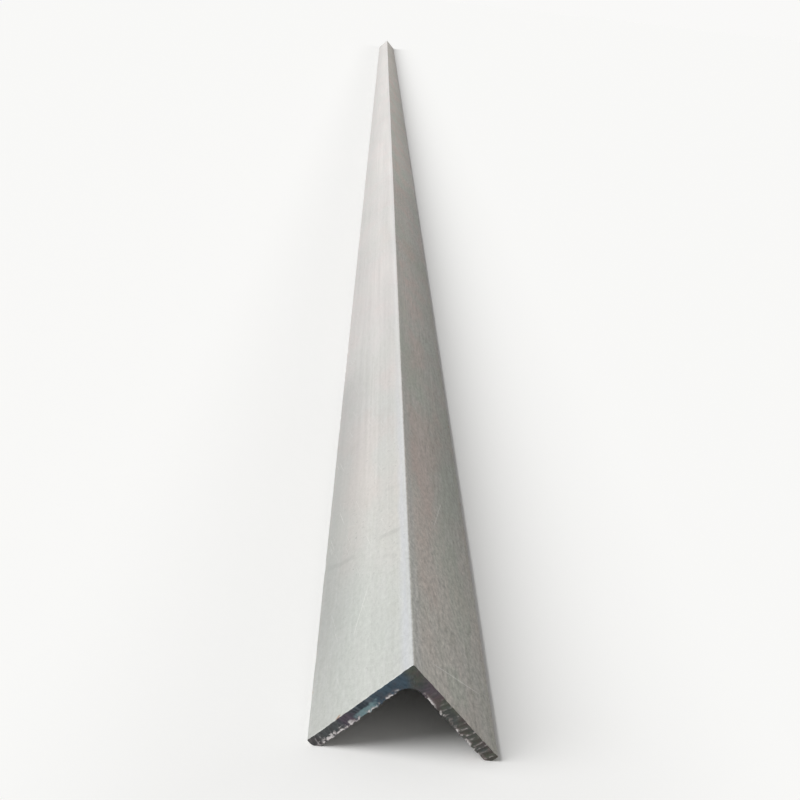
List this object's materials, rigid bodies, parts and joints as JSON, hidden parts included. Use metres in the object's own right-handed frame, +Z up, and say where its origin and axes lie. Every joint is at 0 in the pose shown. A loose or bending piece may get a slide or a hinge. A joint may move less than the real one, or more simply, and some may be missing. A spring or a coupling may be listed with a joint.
{
  "type": "steel angle section",
  "caption": "Long hot-rolled steel bar of equal-leg L section with a filleted root and round inner toe edges, for framing and brackets.",
  "frame": {"origin": "on the floor under the middle of the bar, in the plane of symmetry through the heel", "axes": "+Y along the bar towards its far end, +X across it to the right leg, +Z up from the toes to the heel"},
  "size_m": [0.0708, 6, 0.0371],
  "materials": {
    "mill_steel": "satin"
  },
  "bodies": {
    "root": {"angle_bar": "mill_steel"}
  },
  "joints": []
}
